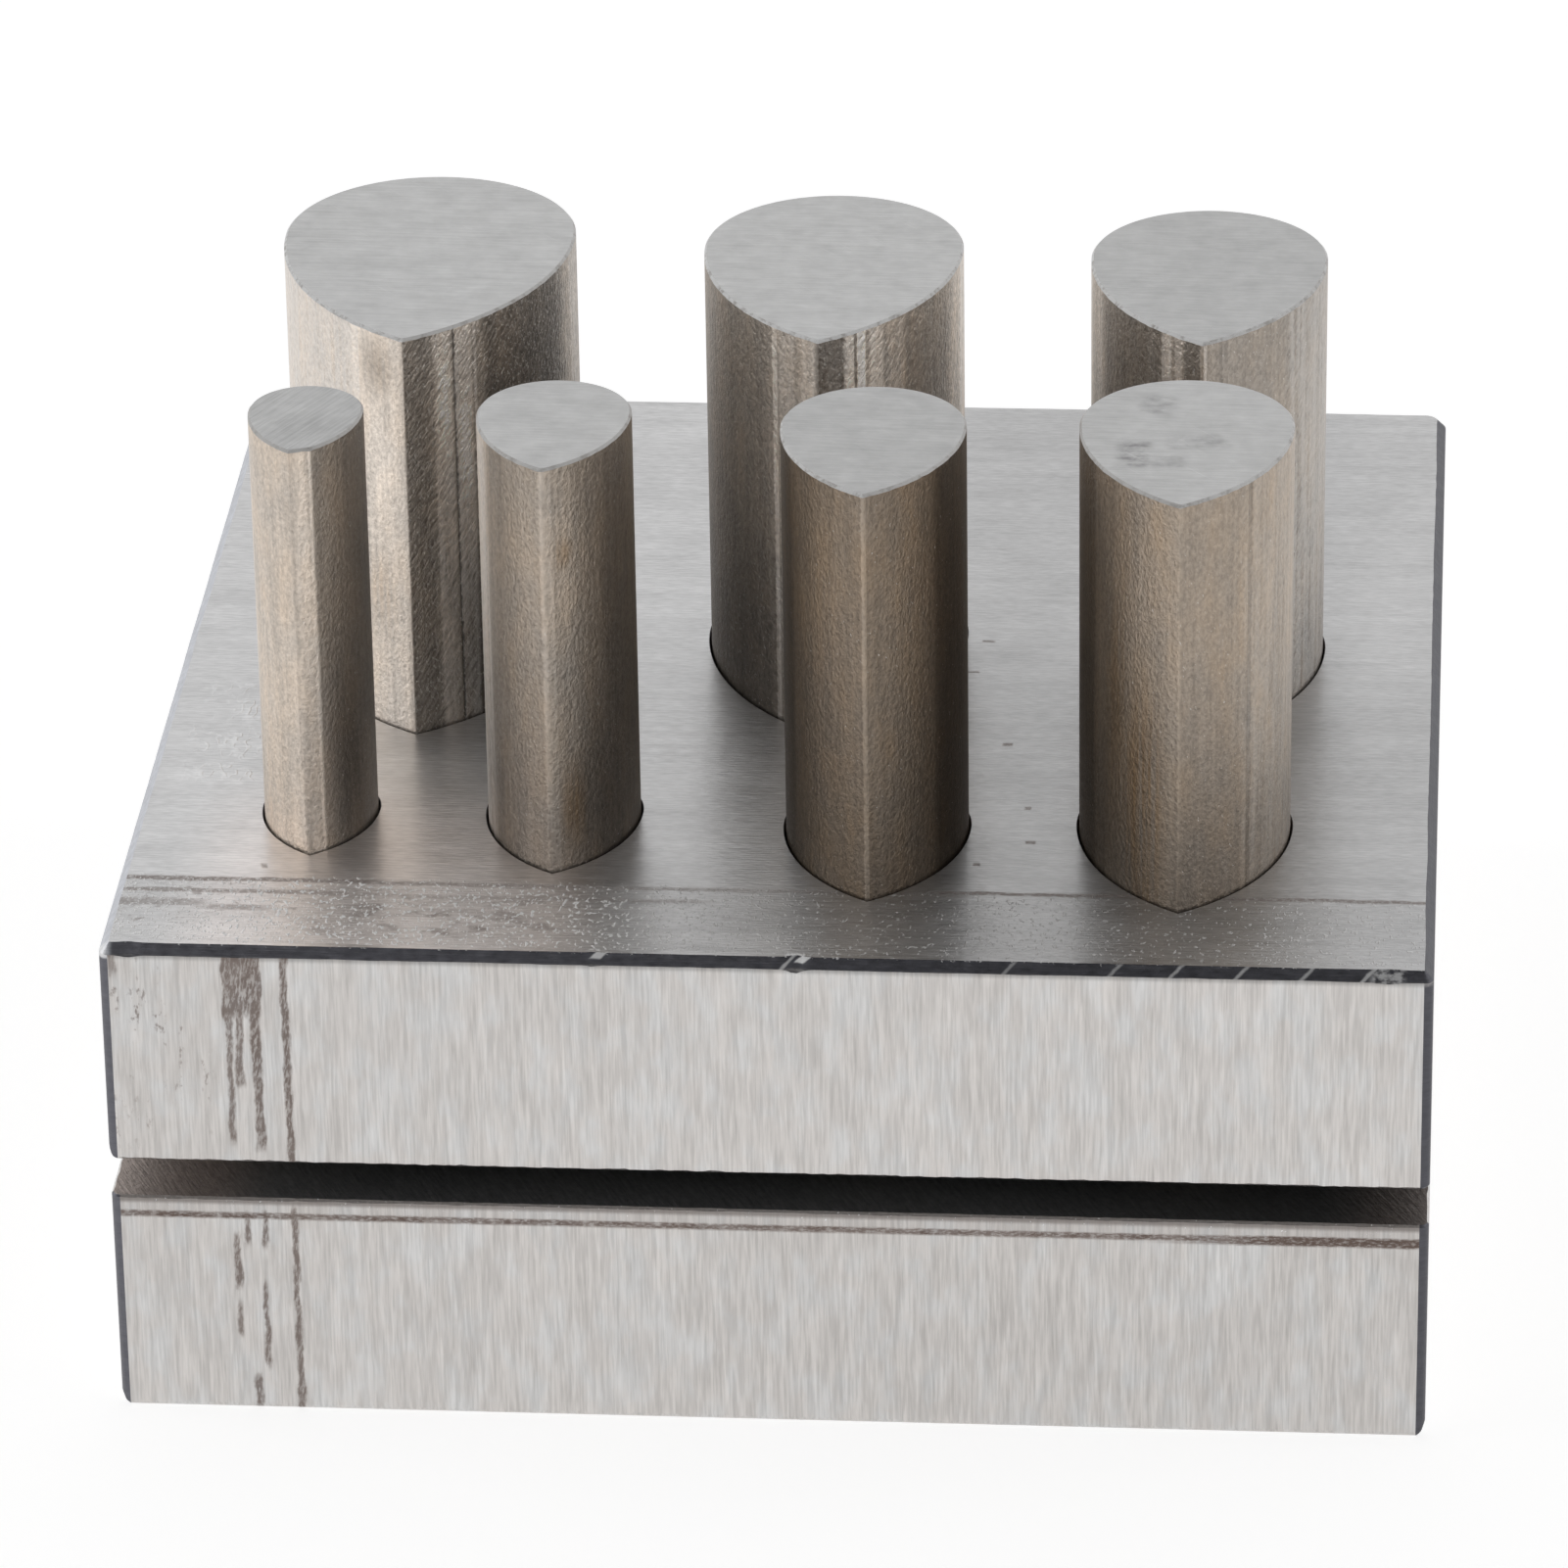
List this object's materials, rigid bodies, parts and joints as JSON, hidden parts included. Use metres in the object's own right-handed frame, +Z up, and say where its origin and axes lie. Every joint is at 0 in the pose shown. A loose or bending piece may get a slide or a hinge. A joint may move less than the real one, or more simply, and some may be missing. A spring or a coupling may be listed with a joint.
{
  "type": "jewelers disc cutter",
  "caption": "Square steel disc cutter for pear shapes: a guide plate over a die plate, a slot between them for sheet metal, and straight pear-shaped punches standing in the holes.",
  "frame": {"origin": "middle of the block's underside, which stands on the bench", "axes": "+X to the right and +Y to the back, away from the user and the slot's mouth; +Z up, along the punches"},
  "size_m": [0.07, 0.07, 0.0516],
  "materials": {
    "plate_steel": "ground and brushed along its length, with bevelled edges",
    "spacer_steel": "milled, left a little rough",
    "punch_steel": "matte wire-cut sides with fine upright grain, ground ends",
    "screw_steel": "black oxide",
    "dowel_steel": "ground bright"
  },
  "bodies": {
    "block": {"die_plate": "plate_steel", "spacer_bar": "spacer_steel", "guide_plate": "plate_steel", "screw_left": "screw_steel", "screw_middle": "screw_steel", "screw_right": "screw_steel", "dowel_left": "dowel_steel", "dowel_right": "dowel_steel"},
    "punch_1": {"punch_1": "punch_steel"},
    "punch_2": {"punch_2": "punch_steel"},
    "punch_3": {"punch_3": "punch_steel"},
    "punch_4": {"punch_4": "punch_steel"},
    "punch_5": {"punch_5": "punch_steel"},
    "punch_6": {"punch_6": "punch_steel"},
    "punch_7": {"punch_7": "punch_steel"}
  },
  "joints": [
    {"name": "punch_1_slide", "type": "slide", "parent": "block", "child": "punch_1", "axis": [0, 0, 1], "range_m": [0, 0.055]},
    {"name": "punch_2_slide", "type": "slide", "parent": "block", "child": "punch_2", "axis": [0, 0, 1], "range_m": [0, 0.055]},
    {"name": "punch_3_slide", "type": "slide", "parent": "block", "child": "punch_3", "axis": [0, 0, 1], "range_m": [0, 0.055]},
    {"name": "punch_4_slide", "type": "slide", "parent": "block", "child": "punch_4", "axis": [0, 0, 1], "range_m": [0, 0.055]},
    {"name": "punch_5_slide", "type": "slide", "parent": "block", "child": "punch_5", "axis": [0, 0, 1], "range_m": [0, 0.055]},
    {"name": "punch_6_slide", "type": "slide", "parent": "block", "child": "punch_6", "axis": [0, 0, 1], "range_m": [0, 0.055]},
    {"name": "punch_7_slide", "type": "slide", "parent": "block", "child": "punch_7", "axis": [0, 0, 1], "range_m": [0, 0.055]}
  ]
}
